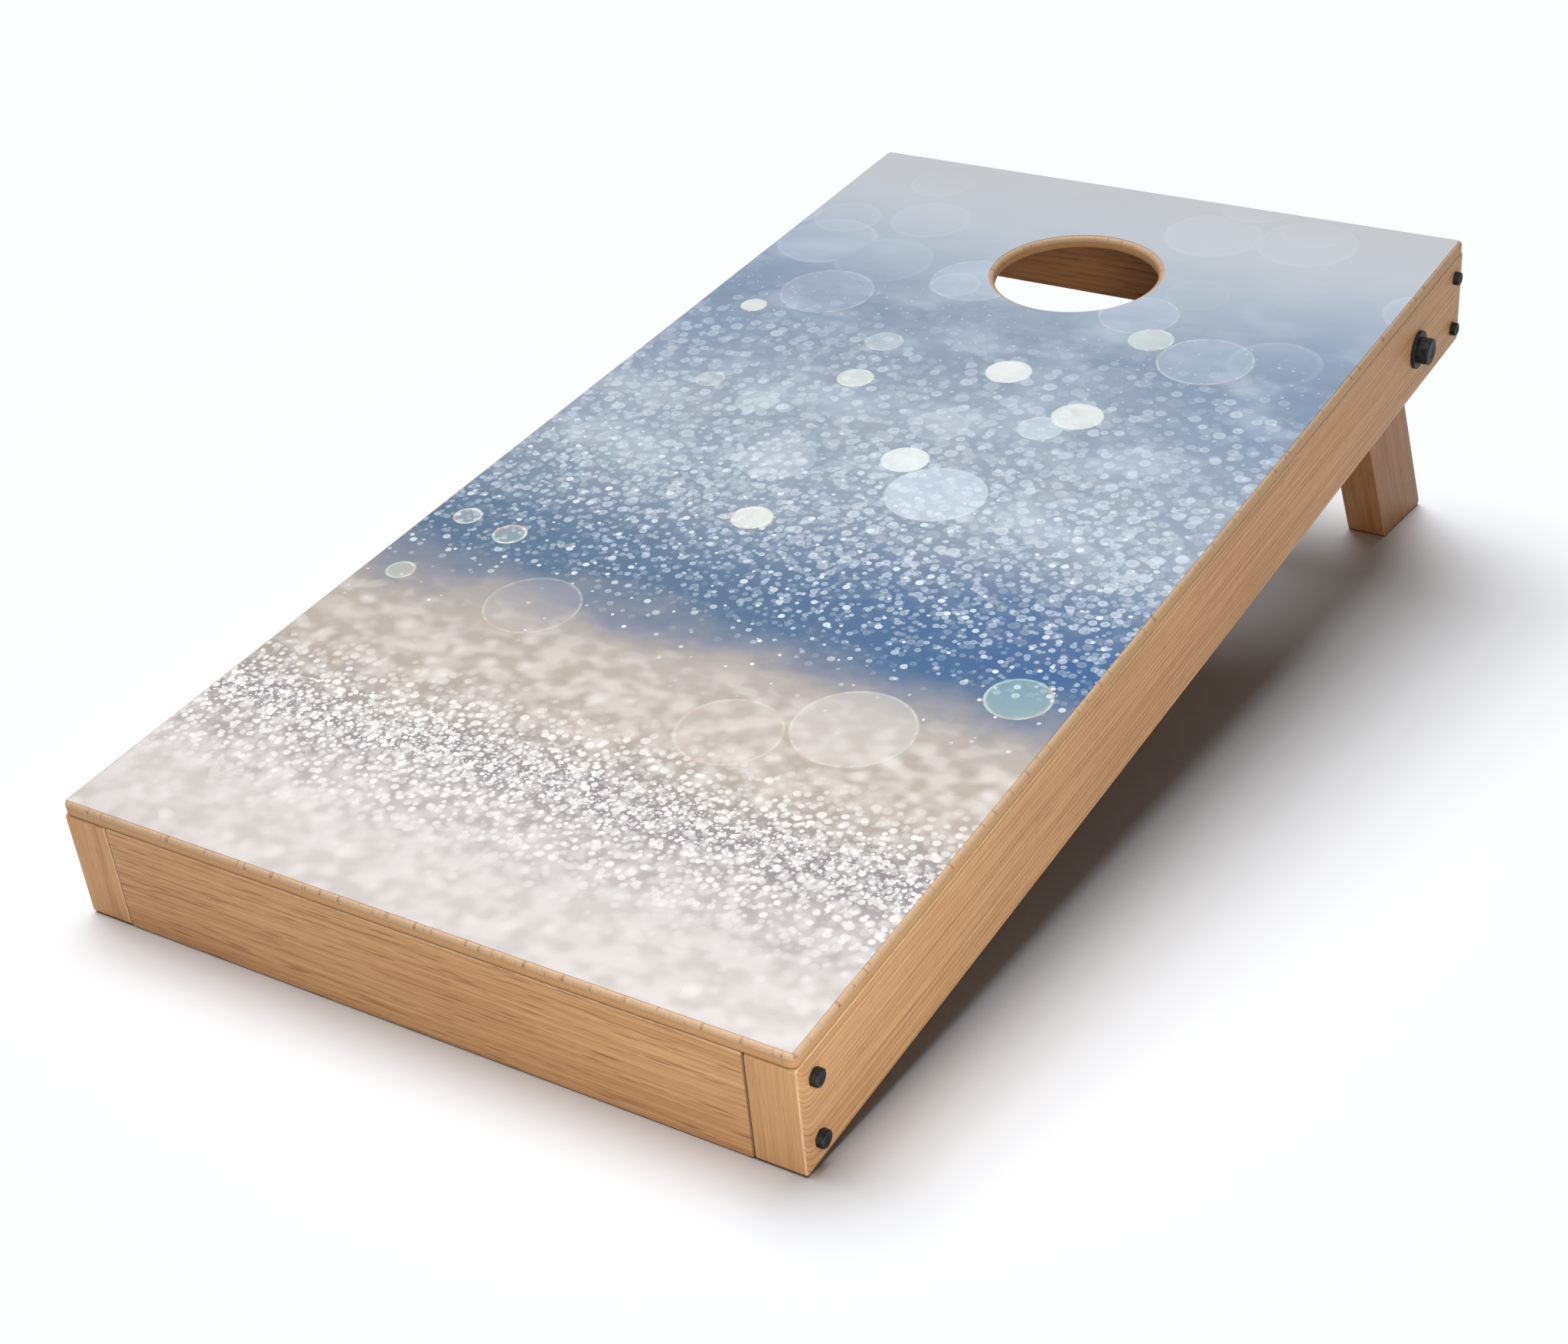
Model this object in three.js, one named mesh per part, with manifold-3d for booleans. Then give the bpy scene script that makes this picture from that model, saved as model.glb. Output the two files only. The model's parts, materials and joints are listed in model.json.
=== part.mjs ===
// A full-size cornhole board: a plywood deck with a printed skin on a frame of four planks, lag-screwed
// at its corners, and two legs that fold up inside the frame on through bolts. Units are millimetres.
import * as THREE from 'three';
import { mergeVertices } from 'three/addons/utils/BufferGeometryUtils.js';
import Module from 'manifold-3d';

const wasm = await Module();
wasm.setup();

// ---------------------------------------------------------------- driving dimensions
const INCH = 25.4;
const WIDTH = 24 * INCH; // across the board
const LENGTH = 48 * INCH; // front edge to rear edge, along the deck
const REAR_HEIGHT = 12 * INCH; // top of the deck's rear edge above the ground
const DECK = 11; // plywood thickness
const PLANK = 1.5 * INCH; // thickness of the frame and leg planks
const FRAME_DEPTH = 90; // depth of the frame planks
const LEG_WIDTH = 86;
const GAP = 0.3; // left between pieces that rest on each other
const EDGE = 2.5; // rounding of the planks' edges
const DECK_EDGE = 3; // rounding of the deck's edges and of its hole

const HOLE_RADIUS = 3 * INCH;
const HOLE_FROM_REAR = 7.5 * INCH; // centre of the hole to the rear edge
const SKIN = 0.5; // printed skin
const SKIN_INSET = 3; // bare wood left around the skin and around the hole

const PIVOT_FROM_REAR = 118; // leg pivot to the rear edge, along the frame
const LEG_ANGLE = THREE.MathUtils.degToRad(24); // leg to the deck's normal when it stands
const BOLT_RADIUS = 5 / 16 * INCH;
const BOLT_HEAD = { across: 15 / 16 * INCH, height: 10.5 };
const NUT = { across: 15 / 16 * INCH, height: 14 };
const WASHER = { radius: 17.5, bore: 8.6, thickness: 3 };
const SPACER = { radius: 16.7, bore: 8.6, thickness: 1.5 };
const BOLT_LENGTH = 4 * INCH; // under the head
const BOLT_CLEARANCE = 0.3; // radial, in the wood

const LAG = { across: 12, height: 5.3, radius: 4, length: 3 * INCH };
const LAG_SPACING = 52; // between the two screws of a corner
const SCREW = { headRadius: 4.2, headHeight: 3, radius: 1.9, length: 40 };
const SCREW_SINK = 0.3; // head below the deck's face
const FIXING_CLEARANCE = 0.4; // radial, around a screw

// ---------------------------------------------------------------- worked-out places
// The board's own frame has X across, Y from the front edge to the rear, and Z up from the frame's underside.
const BOARD_DEPTH = FRAME_DEPTH + DECK;
const TILT = Math.asin(REAR_HEIGHT / Math.hypot(LENGTH, BOARD_DEPTH)) - Math.atan(BOARD_DEPTH / LENGTH);
const DECK_UNDERSIDE = FRAME_DEPTH + GAP;
const DECK_TOP = DECK_UNDERSIDE + DECK;
const PIVOT = { y: LENGTH - PIVOT_FROM_REAR, z: FRAME_DEPTH / 2 };
const PIVOT_HEIGHT = PIVOT.y * Math.sin(TILT) + PIVOT.z * Math.cos(TILT); // above the ground
const RAIL_X = (WIDTH - PLANK) / 2;
const LEG_X = WIDTH / 2 - PLANK - SPACER.thickness - 2 * GAP - PLANK / 2;

const ROUND = 20; // sides of a bolt or a washer
const SMALL_ROUND = 10; // sides of a deck screw
const HOLE_SIDES = 64;

// ---------------------------------------------------------------- materials
const material = (color, roughness, metalness = 0) => new THREE.MeshStandardMaterial({ color, roughness, metalness });
const oak = material(0xc79a6b, 0.6);
const plywood = material(0xcfa577, 0.65);
const skinPrint = material(0xb3c0d0, 0.35);
const blackSteel = material(0x24262a, 0.5, 0.6);
const zincSteel = material(0x9a9ca0, 0.4, 0.9);
const nylon = material(0x1c1c1e, 0.6);

// ---------------------------------------------------------------- solids
function solid(geometry) {
  const bare = geometry.clone();
  bare.deleteAttribute('normal');
  bare.deleteAttribute('uv');
  const merged = mergeVertices(bare, 1e-4);
  return new wasm.Manifold(new wasm.Mesh({
    numProp: 3,
    vertProperties: new Float32Array(merged.attributes.position.array),
    triVerts: new Uint32Array(merged.index.array),
  }));
}

function geometryOf(manifold) {
  const mesh = manifold.getMesh();
  const geometry = new THREE.BufferGeometry();
  geometry.setAttribute('position', new THREE.BufferAttribute(new Float32Array(mesh.vertProperties), 3));
  geometry.setIndex(new THREE.BufferAttribute(new Uint32Array(mesh.triVerts), 1));
  geometry.computeVertexNormals();
  return geometry;
}

function cut(geometry, cutters) {
  let made = solid(geometry);
  for (const cutter of cutters) made = made.subtract(solid(cutter));
  return geometryOf(made);
}

function join(...geometries) {
  return geometryOf(geometries.map(solid).reduce((sum, next) => sum.add(next)));
}

// An outline extruded through a thickness centred on Z, with its edges rounded.
function rounded(shape, thickness, edge, curveSegments = 12) {
  const geometry = new THREE.ExtrudeGeometry(shape, {
    depth: thickness - 2 * edge,
    bevelThickness: edge,
    bevelSize: edge,
    bevelOffset: -edge,
    bevelSegments: 2,
    curveSegments,
  });
  return geometry.translate(0, 0, edge - thickness / 2);
}

function rectangle(width, height) {
  return new THREE.Shape()
    .moveTo(-width / 2, -height / 2)
    .lineTo(width / 2, -height / 2)
    .lineTo(width / 2, height / 2)
    .lineTo(-width / 2, height / 2)
    .closePath();
}

// A cylinder along X, Y or Z that starts at a point and runs for a length.
function rod(axis, [x, y, z], radius, length, sides = ROUND) {
  const geometry = new THREE.CylinderGeometry(radius, radius, length, sides);
  if (axis === 'x') geometry.rotateZ(-Math.PI / 2).translate(length / 2, 0, 0);
  if (axis === 'y') geometry.translate(0, length / 2, 0);
  if (axis === 'z') geometry.rotateX(Math.PI / 2).translate(0, 0, length / 2);
  return geometry.translate(x, y, z);
}

// A hexagonal prism along X from the origin, with a corner up and a shallow round dimple in its far face.
function hexagon(across, height, dimple) {
  const corner = across / Math.sqrt(3);
  const prism = new THREE.CylinderGeometry(corner, corner, height, 6);
  prism.rotateZ(-Math.PI / 2).translate(height / 2, 0, 0);
  const bowl = rod('x', [height - dimple, 0, 0], across * 0.27, 2 * dimple);
  return cut(prism, [bowl]);
}

// ---------------------------------------------------------------- fixings
// A lag screw along X: its head stands out towards +X and its shank runs to -X.
function lagScrew() {
  const profile = [[0, 2], [LAG.radius, 2], [LAG.radius, 6 - LAG.length], [0, -LAG.length]];
  const shank = new THREE.LatheGeometry(profile.map(([r, h]) => new THREE.Vector2(r, h)).reverse(), ROUND);
  return join(hexagon(LAG.across, LAG.height, 1), shank.rotateZ(-Math.PI / 2));
}

// The leg's through bolt along X: its head stands out towards +X.
function pivotBolt() {
  const shank = rod('x', [-BOLT_LENGTH, 0, 0], BOLT_RADIUS, BOLT_LENGTH + 2);
  return join(hexagon(BOLT_HEAD.across, BOLT_HEAD.height, 1.5), shank);
}

// A washer along X, centred on the origin.
function washer({ radius, bore, thickness }) {
  const ring = new THREE.Shape().absarc(0, 0, radius, 0, 2 * Math.PI);
  ring.holes.push(new THREE.Path().absarc(0, 0, bore, 0, 2 * Math.PI, true));
  const geometry = new THREE.ExtrudeGeometry(ring, { depth: thickness, bevelEnabled: false, curveSegments: ROUND });
  return geometry.translate(0, 0, -thickness / 2).rotateY(Math.PI / 2);
}

// The lock nut along X, centred on the origin, with a collar for its nylon insert.
function lockNut() {
  const hex = new THREE.CylinderGeometry(NUT.across / Math.sqrt(3), NUT.across / Math.sqrt(3), NUT.height * 0.75, 6);
  hex.rotateZ(-Math.PI / 2).translate(NUT.height * 0.125, 0, 0);
  const collar = rod('x', [-NUT.height / 2, 0, 0], NUT.across * 0.46, NUT.height * 0.5);
  const bore = rod('x', [-NUT.height, 0, 0], BOLT_RADIUS + GAP, 2 * NUT.height);
  return cut(join(hex, collar), [bore]);
}

// A countersunk screw that points down from the origin, or, with a clearance, the hole that it needs.
function deckScrew(clearance = 0) {
  const { headRadius, headHeight, radius, length } = SCREW;
  const top = clearance ? 1 : 0;
  const profile = [
    [0, -length - clearance],
    [radius + clearance, -length + 4 - clearance],
    [radius + clearance, -headHeight],
    [headRadius + clearance, 0],
  ];
  if (top) profile.push([headRadius + clearance, top]);
  profile.push([0, top]);
  const outline = profile.map(([r, h]) => new THREE.Vector2(r, h));
  return new THREE.LatheGeometry(outline, SMALL_ROUND).rotateX(Math.PI / 2);
}

// Where the deck screws go: down the middle of each plank of the frame.
function deckScrewPlaces() {
  const places = [];
  for (const x of [-RAIL_X, RAIL_X]) {
    for (const step of [0, 1, 2, 3]) places.push([x, 110 + step * (LENGTH - 360) / 3]);
  }
  for (const y of [PLANK / 2, LENGTH - PLANK / 2]) {
    for (const x of [-WIDTH / 5, WIDTH / 5]) places.push([x, y]);
  }
  return places;
}

const SCREW_TOP = DECK_TOP - SCREW_SINK;
const screwHoles = (near) => deckScrewPlaces().filter(near)
  .map(([x, y]) => deckScrew(FIXING_CLEARANCE).translate(x, y, SCREW_TOP));

// The heights and distances from the front edge of the lag screws in a rail.
const LAG_PLACES = [PLANK / 2, LENGTH - PLANK / 2].flatMap((y) => [-1, 1].map((side) => ({
  y,
  z: FRAME_DEPTH / 2 + side * LAG_SPACING / 2,
  name: (y < LENGTH / 2 ? 'front' : 'rear') + (side > 0 ? '_upper' : '_lower'),
})));

// ---------------------------------------------------------------- wooden pieces, each in the board's own frame
function deckPanel() {
  const outline = rectangle(WIDTH, LENGTH);
  outline.holes.push(new THREE.Path().absarc(0, LENGTH / 2 - HOLE_FROM_REAR, HOLE_RADIUS, 0, 2 * Math.PI, true));
  const sheet = rounded(outline, DECK, DECK_EDGE, HOLE_SIDES / 2);
  sheet.translate(0, LENGTH / 2, DECK_UNDERSIDE + DECK / 2);
  return cut(sheet, screwHoles(() => true));
}

function printedSkin() {
  const outline = rectangle(WIDTH - 2 * SKIN_INSET, LENGTH - 2 * SKIN_INSET);
  const around = HOLE_RADIUS + SKIN_INSET;
  outline.holes.push(new THREE.Path().absarc(0, LENGTH / 2 - HOLE_FROM_REAR, around, 0, 2 * Math.PI, true));
  const film = new THREE.ExtrudeGeometry(outline, { depth: SKIN, bevelEnabled: false, curveSegments: HOLE_SIDES / 2 });
  return film.translate(0, LENGTH / 2, DECK_TOP + GAP);
}

function rail(side) {
  const plank = rounded(rectangle(LENGTH, FRAME_DEPTH), PLANK, EDGE).rotateX(Math.PI / 2).rotateZ(Math.PI / 2);
  plank.translate(side * RAIL_X, LENGTH / 2, FRAME_DEPTH / 2);
  const from = side * RAIL_X - PLANK;
  const lags = LAG_PLACES.map(({ y, z }) => rod('x', [from, y, z], LAG.radius + FIXING_CLEARANCE, 2 * PLANK));
  const pivot = rod('x', [from, PIVOT.y, PIVOT.z], BOLT_RADIUS + BOLT_CLEARANCE, 2 * PLANK);
  return cut(plank, [...lags, pivot, ...screwHoles(([x]) => x === side * RAIL_X)]);
}

// The front plank is at the near end of the rails and the rear plank at the far end.
function crossPlank(middle) {
  const length = WIDTH - 2 * PLANK - 2 * GAP;
  const plank = rounded(rectangle(length, FRAME_DEPTH), PLANK, EDGE).rotateX(Math.PI / 2);
  plank.translate(0, middle, FRAME_DEPTH / 2);
  const reach = LAG.length - PLANK + 2;
  const lags = LAG_PLACES.filter(({ y }) => y === middle).flatMap(({ y, z }) => [
    rod('x', [length / 2 - reach, y, z], LAG.radius + FIXING_CLEARANCE, 2 * reach),
    rod('x', [-length / 2 - reach, y, z], LAG.radius + FIXING_CLEARANCE, 2 * reach),
  ]);
  return cut(plank, [...lags, ...screwHoles(([x, y]) => y === middle && Math.abs(x) < RAIL_X)]);
}

// A leg in its own frame: the pivot is the origin, X runs along the bolt and the leg hangs down -Z.
// Its front top corner is round, to turn under the deck. The rear one is left square, and is the stop
// that bears on the deck's underside when the leg stands. The foot is cut flat to the ground.
function leg() {
  const half = LEG_WIDTH / 2;
  const lean = TILT + LEG_ANGLE;
  const room = DECK_UNDERSIDE - PIVOT.z - 0.5;
  const top = (room - half * Math.sin(LEG_ANGLE)) / Math.cos(LEG_ANGLE);
  const footAt = (y) => -(PIVOT_HEIGHT + y * Math.sin(lean)) / Math.cos(lean);
  const outline = new THREE.Shape()
    .moveTo(half, footAt(half))
    .lineTo(half, top)
    .absarc(0, 0, half, Math.PI - Math.asin(top / half), Math.PI, false)
    .lineTo(-half, footAt(-half))
    .closePath();
  const plank = rounded(outline, PLANK, EDGE, 10).rotateX(Math.PI / 2).rotateZ(Math.PI / 2);
  return cut(plank, [rod('x', [-PLANK, 0, 0], BOLT_RADIUS + BOLT_CLEARANCE, 2 * PLANK)]);
}

// ---------------------------------------------------------------- assembly
const board = new THREE.Group();
board.rotation.x = TILT;

function place(parent, name, geometry, look, x = 0, y = 0, z = 0) {
  const mesh = new THREE.Mesh(geometry, look);
  mesh.name = name;
  mesh.position.set(x, y, z);
  parent.add(mesh);
  return mesh;
}

place(board, 'deck_panel', deckPanel(), plywood);
place(board, 'printed_skin', printedSkin(), skinPrint);
place(board, 'front_board', crossPlank(PLANK / 2), oak);
place(board, 'rear_board', crossPlank(LENGTH - PLANK / 2), oak);
place(board, 'left_rail', rail(-1), oak);
place(board, 'right_rail', rail(1), oak);

deckScrewPlaces().forEach(([x, y], i) => {
  place(board, `deck_screw_${String(i + 1).padStart(2, '0')}`, deckScrew(), zincSteel, x, y, SCREW_TOP);
});

// Everything along a pivot bolt or a lag screw is laid out along +X and mirrored by a half turn for the left side.
for (const [side, hand] of [[1, 'right'], [-1, 'left']]) {
  for (const { y, z, name } of LAG_PLACES) {
    const lag = place(board, `${hand}_${name}_lag_screw`, lagScrew(), blackSteel, side * (WIDTH / 2 + GAP), y, z);
    if (side < 0) lag.rotation.z = Math.PI;
  }

  const pivot = new THREE.Group();
  pivot.position.set(0, PIVOT.y, PIVOT.z);
  if (side < 0) pivot.rotation.z = Math.PI;
  board.add(pivot);
  const outside = WIDTH / 2 + GAP;
  const inside = LEG_X - PLANK / 2 - GAP;
  place(pivot, `${hand}_outer_washer`, washer(WASHER), blackSteel, outside + WASHER.thickness / 2);
  place(pivot, `${hand}_pivot_bolt`, pivotBolt(), blackSteel, outside + WASHER.thickness + GAP);
  place(pivot, `${hand}_spacer_washer`, washer(SPACER), nylon, WIDTH / 2 - PLANK - GAP - SPACER.thickness / 2);
  place(pivot, `${hand}_inner_washer`, washer(WASHER), zincSteel, inside - WASHER.thickness / 2);
  place(pivot, `${hand}_lock_nut`, lockNut(), zincSteel, inside - WASHER.thickness - GAP - NUT.height / 2);

  const hinge = new THREE.Group();
  hinge.position.set(side * LEG_X, PIVOT.y, PIVOT.z);
  hinge.rotation.x = LEG_ANGLE;
  board.add(hinge);
  place(hinge, `${hand}_leg`, leg(), oak);
}

// The origin is on the ground, in the middle of the space that the standing board takes.
const extent = new THREE.Box3().setFromObject(board, true);
const middle = extent.getCenter(new THREE.Vector3());
board.position.set(-middle.x, -middle.y, -extent.min.z);

const cornholeBoard = new THREE.Group();
cornholeBoard.name = 'cornhole_board';
cornholeBoard.add(board);

export default cornholeBoard;
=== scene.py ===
"""A cornhole board of plywood and planks with a printed deck, standing on its legs on a pale floor."""

import json
import math
import random

import bmesh
import bpy
from mathutils import Matrix, Vector, noise

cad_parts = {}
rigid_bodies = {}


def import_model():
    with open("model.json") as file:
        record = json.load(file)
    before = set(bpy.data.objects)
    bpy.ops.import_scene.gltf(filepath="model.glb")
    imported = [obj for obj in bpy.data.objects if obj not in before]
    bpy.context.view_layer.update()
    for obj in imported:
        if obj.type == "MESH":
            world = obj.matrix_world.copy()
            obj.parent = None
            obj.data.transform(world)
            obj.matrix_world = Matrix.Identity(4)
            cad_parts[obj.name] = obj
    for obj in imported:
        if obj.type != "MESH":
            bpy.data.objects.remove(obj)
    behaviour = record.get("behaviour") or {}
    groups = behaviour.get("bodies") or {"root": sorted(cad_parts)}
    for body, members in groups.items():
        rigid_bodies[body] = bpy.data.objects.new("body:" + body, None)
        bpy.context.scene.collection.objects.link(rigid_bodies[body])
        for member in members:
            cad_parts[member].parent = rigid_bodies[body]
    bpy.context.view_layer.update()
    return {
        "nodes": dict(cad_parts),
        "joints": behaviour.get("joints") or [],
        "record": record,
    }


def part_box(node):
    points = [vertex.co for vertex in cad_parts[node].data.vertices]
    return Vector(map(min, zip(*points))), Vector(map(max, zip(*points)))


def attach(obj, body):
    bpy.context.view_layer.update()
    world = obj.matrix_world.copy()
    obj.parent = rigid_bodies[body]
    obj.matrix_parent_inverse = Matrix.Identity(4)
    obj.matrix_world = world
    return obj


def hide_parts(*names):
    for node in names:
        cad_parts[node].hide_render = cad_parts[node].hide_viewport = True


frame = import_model()

# ---------------------------------------------------------------- sizes, in metres
INCH = 0.0254
GAP = 0.0003  # between pieces that fit against each other
LIFT = 0.00002  # keeps two touching faces apart
PLANK = 1.5 * INCH  # thickness of the frame and leg planks
PLANK_EDGE = 0.0014
PLANK_CORNER = 0.003
DECK = 0.011  # plywood thickness
DECK_EDGE = 0.0032  # round-over of the deck's upper edge
DECK_LOWER_EDGE = 0.0012
DECK_CORNER = 0.006
HOLE_RADIUS = 3 * INCH
HOLE_FROM_REAR = 7.5 * INCH  # to the hole's centre
HOLE_EDGE = 0.005  # round-over of the hole's upper edge
HOLE_STEPS = 128
SKIN = 0.0005  # film thickness
SKIN_INSET = 0.0031  # from the deck's edges to the film
SKIN_HOLE_EXTRA = 0.002  # how much further the film stays from the hole
SKIN_CORNER = 0.0012
SKIN_EDGE = 0.00015
SKIN_LOWER_EDGE = 0.00008

LEG_HALF = 0.043  # half a leg's width
LEG_STOP = 0.0005  # from a leg's top corner to the deck's underside
LEG_CORNER = 0.003
FOOT_CORNER = 0.004
LEG_HOLE_EDGE = 0.0006

LAG_RADIUS = 0.004
LAG_LENGTH = 3 * INCH
LAG_ACROSS = 0.012  # across the flats of its head
LAG_HEAD = 0.0055  # height of its head
LAG_RECESS = 0.003  # radius of the round recess in its face
LAG_PITCH = 0.0028
LAG_THREAD = 0.0007  # depth of its thread
LAG_TIP = 0.006
BOLT_RADIUS = 5 / 16 * INCH
BOLT_ACROSS = 15 / 16 * INCH
BOLT_HEAD = 0.0105
BOLT_RECESS = 0.0062
BOLT_SMOOTH = 0.072  # length of its shank without a thread
THREAD_START = 0.0003  # how far the thread runs back into the plain shank
BOLT_PITCH = 0.0022
BOLT_THREAD = 0.0011
OVERLAP = 0.0002  # how far a shank runs into its head
WASHER_RADIUS = 0.0175
WASHER_BORE = 0.0086
OUTER_WASHER = 0.0034  # thickness
OUTER_BORE = 0.0084
RING_EXTRA = 0.0004  # how much thicker an inner ring is than its node, to close the gaps beside it
RING_EDGE = 0.0003
SPACER_RADIUS = 0.0167
NUT_BORE_ROOM = 0.0002
CHAMFER_SLOPE = 0.577  # of the nut's 30 degree chamfers
WOOD_SMOOTH = 35  # degrees between faces that still shade as one
METAL_SMOOTH = 28

mounts = {mount["name"]: mount for mount in frame["record"]["mounts"]}
joints = {joint["name"]: joint for joint in frame["joints"]}


def board_place():
    """The board's own frame in the shared one, with the rail's length and depth.

    In it X is across, Y runs from the front edge to the rear and Z is up from the frame's underside.
    """
    deck_normal = Vector(mounts["playing_surface"]["axis"])
    tilt = math.atan2(-deck_normal.y, deck_normal.z)
    low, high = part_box("left_rail")
    run, rise = high.y - low.y, high.z - low.z
    length = (run * math.cos(tilt) - rise * math.sin(tilt)) / math.cos(2 * tilt)
    depth = (rise * math.cos(tilt) - run * math.sin(tilt)) / math.cos(2 * tilt)
    origin = Vector((0, low.y + depth * math.sin(tilt), low.z))
    return Matrix.Translation(origin) @ Matrix.Rotation(tilt, 4, "X"), length, depth


BOARD, LENGTH, DEPTH = board_place()
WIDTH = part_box("deck_panel")[1].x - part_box("deck_panel")[0].x
DECK_TOP = DEPTH + GAP + DECK
HOLE = (0.0, LENGTH - HOLE_FROM_REAR)
RAIL_X = (WIDTH - PLANK) / 2


# ---------------------------------------------------------------- materials
OAK_LIGHT = "d8a977"
OAK_DARK = "a46e41"
LATE_WOOD = "84532f"
GRAIN_DASH = "7a4b29"
OPEN_PORE = "6f4425"
WORN_EDGE = "e9cba6"
# the colour of painted shade in the joints between pieces
SEAM_SHADE = "4a2c18"
CORE_LIGHT = "cb9c69"
CORE_DARK = "a9763f"
VENEER_LIGHT = "c9ae8e"
VENEER_DARK = "a57c56"
VENEER_STROKE = "7a4c2a"
BARE_STEEL = "8a8b8d"
FLOOR_PALE = "f0f3f7"
FLOOR_PALER = "f2f5fa"


def colour(code):
    """A linear colour with alpha from a web colour code."""
    parts = [int(code[i : i + 2], 16) / 255 for i in (0, 2, 4)]
    return tuple(p / 12.92 if p <= 0.04045 else ((p + 0.055) / 1.055) ** 2.4 for p in parts) + (1.0,)


class Nodes:
    """A material and short ways to add nodes to it."""

    def __init__(self, name):
        self.material = bpy.data.materials.new(name)
        self.material.use_nodes = True
        self.tree = self.material.node_tree
        self.tree.nodes.clear()

    def feed(self, socket, value):
        if isinstance(value, bpy.types.NodeSocket):
            self.tree.links.new(value, socket)
        elif value is not None:
            socket.default_value = value

    def add(self, kind, inputs=None, **settings):
        node = self.tree.nodes.new("ShaderNode" + kind)
        for key, value in settings.items():
            setattr(node, key, value)
        for key, value in (inputs or {}).items():
            self.feed(node.inputs[key], value)
        return node

    def math(self, operation, a, b=None, c=None, clamp=False):
        node = self.add("Math", {0: a}, operation=operation, use_clamp=clamp)
        self.feed(node.inputs[1], b)
        self.feed(node.inputs[2], c)
        return node.outputs[0]

    def remap(self, value, low, high, to_low=0.0, to_high=1.0, smooth=True):
        kind = "SMOOTHSTEP" if smooth else "LINEAR"
        inputs = {"Value": value, "From Min": low, "From Max": high, "To Min": to_low, "To Max": to_high}
        return self.add("MapRange", inputs, interpolation_type=kind).outputs["Result"]

    def mix(self, factor, a, b, blend="MIX"):
        node = self.add("Mix", data_type="RGBA", blend_type=blend, clamp_factor=True)
        self.feed(node.inputs[0], factor)
        self.feed(node.inputs[6], a)
        self.feed(node.inputs[7], b)
        return node.outputs[2]

    def ramp(self, factor, stops, interpolation="EASE"):
        node = self.add("ValToRGB", {"Fac": factor})
        node.color_ramp.interpolation = interpolation
        elements = node.color_ramp.elements
        while len(elements) < len(stops):
            elements.new(0.5)
        for element, (place, code) in zip(elements, stops):
            element.position = place
        for element, (place, code) in zip(elements, stops):
            element.color = colour(code)
        return node.outputs["Color"]

    def noise(self, vector, scale, detail=2.0, rough=0.5, kind="3D"):
        inputs = {"Vector": vector, "Scale": scale, "Detail": detail, "Roughness": rough}
        return self.add("TexNoise", inputs, noise_dimensions=kind).outputs["Fac"]

    def cells(self, vector, scale=1.0, kind="3D"):
        inputs = {"Vector": vector, "Scale": scale, "Randomness": 1.0}
        return self.add("TexVoronoi", inputs, voronoi_dimensions=kind, feature="F1").outputs

    def stretch(self, vector, scale, offset=(0, 0, 0)):
        inputs = {"Vector": vector, "Location": offset, "Scale": scale}
        return self.add("Mapping", inputs).outputs["Vector"]

    def split(self, vector):
        return self.add("SeparateXYZ", {"Vector": vector}).outputs

    def join(self, x=0.0, y=0.0, z=0.0):
        return self.add("CombineXYZ", {"X": x, "Y": y, "Z": z}).outputs["Vector"]

    def bump(self, height, distance, strength=1.0, normal=None):
        inputs = {"Height": height, "Distance": distance, "Strength": strength}
        node = self.add("Bump", inputs)
        self.feed(node.inputs["Normal"], normal)
        return node.outputs["Normal"]

    def finish(self, base, roughness, **inputs):
        shader = self.add("BsdfPrincipled", {"Base Color": base, "Roughness": roughness})
        for key, value in inputs.items():
            self.feed(shader.inputs[key.replace("_", " ")], value)
        self.add("OutputMaterial", {"Surface": shader.outputs["BSDF"]})
        return self.material


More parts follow.
